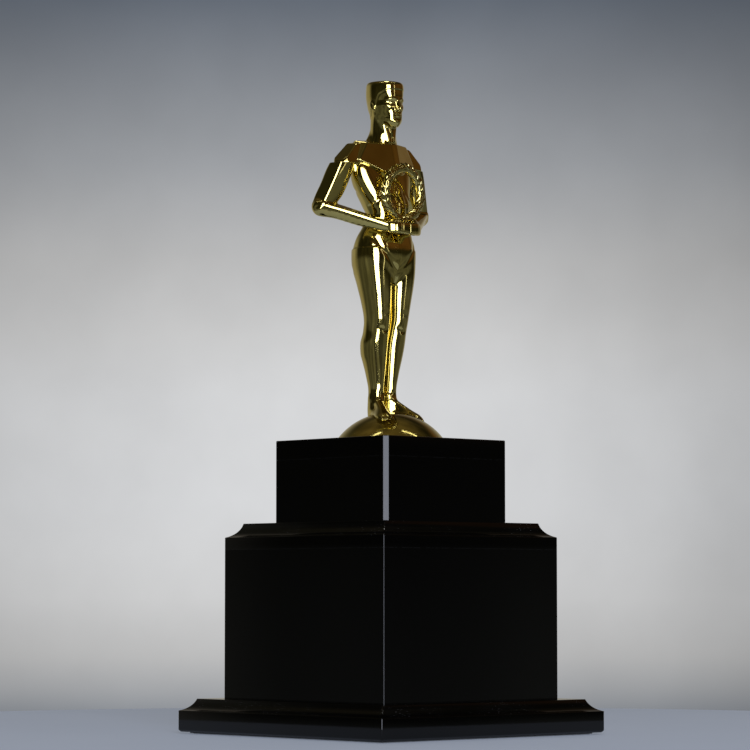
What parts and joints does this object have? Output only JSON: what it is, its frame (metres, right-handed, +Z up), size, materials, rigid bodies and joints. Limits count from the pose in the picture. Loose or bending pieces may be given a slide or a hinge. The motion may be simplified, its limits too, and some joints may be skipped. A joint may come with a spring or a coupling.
{
  "type": "figure trophy",
  "caption": "Gold-plated standing figure holding a wreath, on a domed mount bolted to a stepped, square, black lacquered pedestal with concave mouldings.",
  "frame": {"origin": "centre of the felt underside, on the surface the trophy stands on", "axes": "+Z up through the figure's crown; the figure faces -Y; +X is the figure's left"},
  "size_m": [0.138, 0.138, 0.3006],
  "materials": {
    "felt": "black wool felt, glued on",
    "lacquer": "high-gloss black piano lacquer on board",
    "timber": "planed softwood, unfinished",
    "zinc_steel": "bright zinc plate",
    "gold_plate": "mirror-bright gold plate under clear coat"
  },
  "bodies": {
    "root": {"felt_pad": "felt", "plinth": "lacquer", "plinth_screws": "zinc_steel", "pedestal_front": "lacquer", "pedestal_back": "lacquer", "pedestal_left": "lacquer", "pedestal_right": "lacquer", "pedestal_corner_blocks": "timber", "pedestal_top": "lacquer", "riser_front": "lacquer", "riser_back": "lacquer", "riser_left": "lacquer", "riser_right": "lacquer", "riser_corner_blocks": "timber", "riser_screws": "zinc_steel", "riser_top": "lacquer", "threaded_rod": "zinc_steel", "clamp_washer": "zinc_steel", "clamp_nut": "zinc_steel", "dome_mount": "gold_plate", "foot_screws": "zinc_steel", "figure_body": "gold_plate", "right_arm": "gold_plate", "left_arm": "gold_plate", "wreath": "gold_plate"}
  },
  "joints": []
}
